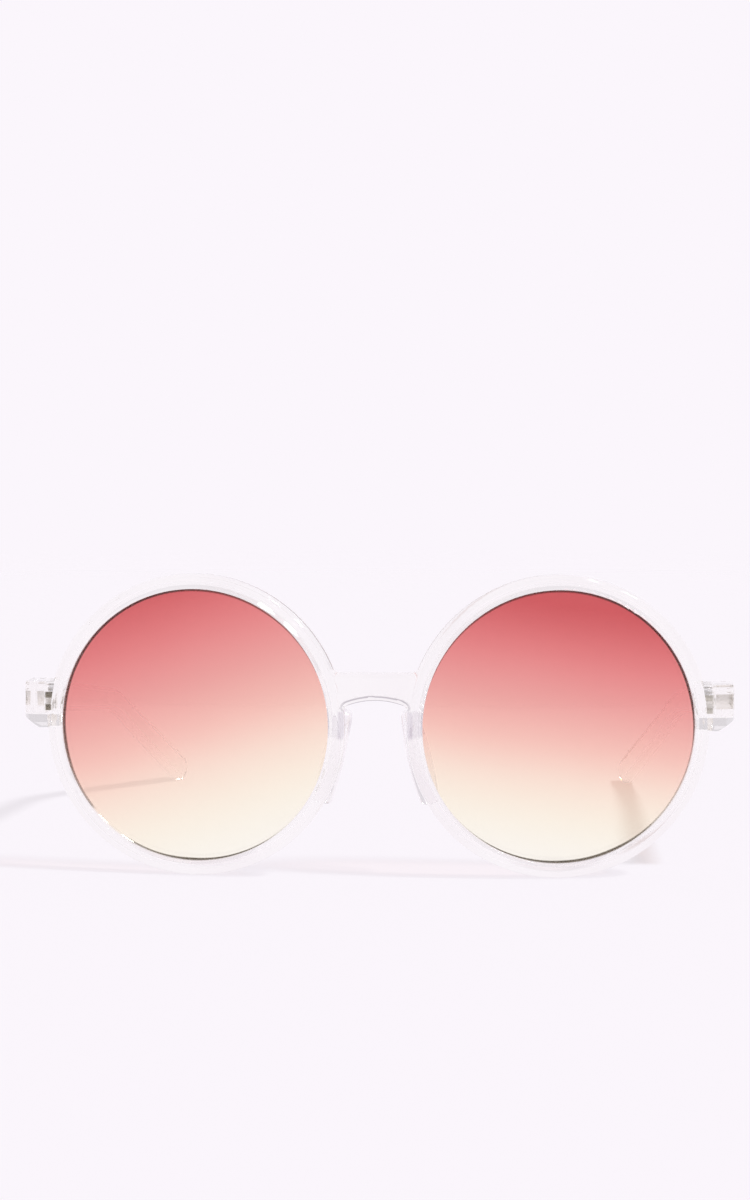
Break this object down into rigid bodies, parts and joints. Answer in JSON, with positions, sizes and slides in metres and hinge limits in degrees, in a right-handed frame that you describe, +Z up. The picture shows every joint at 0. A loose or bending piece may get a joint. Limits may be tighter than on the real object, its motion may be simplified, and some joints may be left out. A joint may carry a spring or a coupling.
{
  "type": "sunglasses",
  "caption": "Oversized round sunglasses: crystal-clear moulded frame with a low arched bridge, gradient rose lenses, clear nose pads and metal barrel hinges on folding temples.",
  "frame": {"origin": "centre of the overall box at the level of the surface that the rims and the temple tips stand on", "axes": "+Z up, the front faces -Y, the temples run back along +Y, +X is the wearer's left"},
  "size_m": [0.152, 0.1508, 0.0644],
  "materials": {
    "clear_plastic": "polished crystal-clear moulded plastic",
    "rose_lens": "polished tinted plastic, rose at the top fading to pale cream at the bottom",
    "hinge_metal": "tumbled nickel-silver",
    "screw_metal": "turned stainless steel"
  },
  "bodies": {
    "front": {"front_frame": "clear_plastic", "left_lens": "rose_lens", "right_lens": "rose_lens", "left_nose_pad": "clear_plastic", "right_nose_pad": "clear_plastic", "left_front_hinge_leaf": "hinge_metal", "right_front_hinge_leaf": "hinge_metal", "left_hinge_screw": "screw_metal", "right_hinge_screw": "screw_metal"},
    "left_temple": {"left_temple": "clear_plastic", "left_temple_hinge_leaf": "hinge_metal"},
    "right_temple": {"right_temple": "clear_plastic", "right_temple_hinge_leaf": "hinge_metal"}
  },
  "joints": [
    {"name": "left_temple_fold", "type": "hinge", "parent": "front", "child": "left_temple", "pos_m": [0.0704, -0.05866, 0.0367], "axis": [0, 0, 1], "range_deg": [0, 85]},
    {"name": "right_temple_fold", "type": "hinge", "parent": "front", "child": "right_temple", "pos_m": [-0.0704, -0.05866, 0.0367], "axis": [0, 0, -1], "range_deg": [0, 78]}
  ]
}
